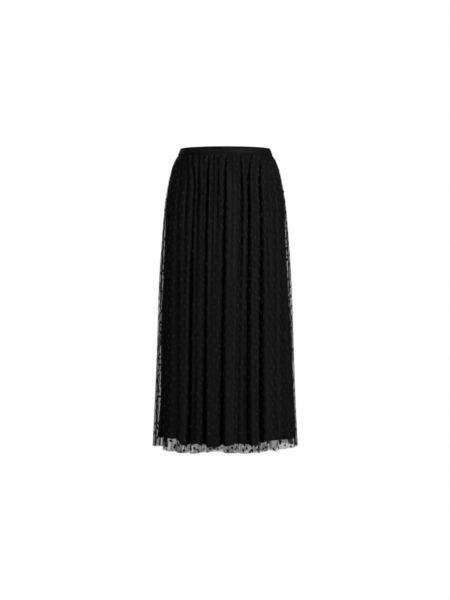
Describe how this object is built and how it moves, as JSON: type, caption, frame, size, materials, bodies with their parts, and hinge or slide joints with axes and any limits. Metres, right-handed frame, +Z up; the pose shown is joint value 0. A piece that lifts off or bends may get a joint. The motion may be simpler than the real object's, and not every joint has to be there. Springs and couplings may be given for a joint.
{
  "type": "tulle skirt",
  "caption": "Gathered midi skirt of sheer dotted tulle over a shorter opaque lining, on a narrow smooth waistband, in the hollow shape it has when worn.",
  "frame": {"origin": "middle of the waist opening, half way up the waistband", "axes": "+X across the skirt to the right as seen from the front, -Y to the front, +Z up along the skirt"},
  "size_m": [0.3893, 0.3369, 0.8396],
  "materials": {
    "waistband": "black elastic with a smooth satin face",
    "tulle": "sheer black net with flocked dots",
    "lining": "smooth opaque black woven lining"
  },
  "bodies": {
    "root": {"waistband": "waistband", "tulle_front": "tulle", "tulle_back": "tulle", "lining_front": "lining", "lining_back": "lining"}
  },
  "joints": []
}
